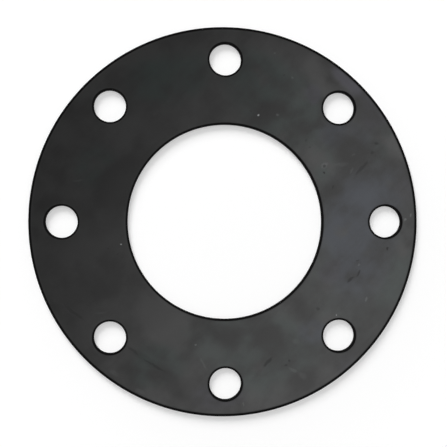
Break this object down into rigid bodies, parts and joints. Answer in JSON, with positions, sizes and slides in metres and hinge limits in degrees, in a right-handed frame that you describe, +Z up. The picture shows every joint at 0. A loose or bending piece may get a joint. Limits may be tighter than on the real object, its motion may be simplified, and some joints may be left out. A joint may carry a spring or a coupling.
{
  "type": "rubber flange gasket",
  "caption": "Flat ring of black rubber with a wide bore and a circle of bolt holes, which seals the joint between two bolted pipe flanges.",
  "frame": {"origin": "centre of the bore, on the lower face that the gasket lies on", "axes": "+Z up through the bore, across the sheet's thickness; +X through the centre of a bolt hole"},
  "size_m": [0.2286, 0.2286, 0.0032],
  "materials": {
    "rubber": "calendered black sheet rubber with a soft grey sheen, die-cut edges matt and darker"
  },
  "bodies": {
    "root": {"gasket": "rubber"}
  },
  "joints": []
}
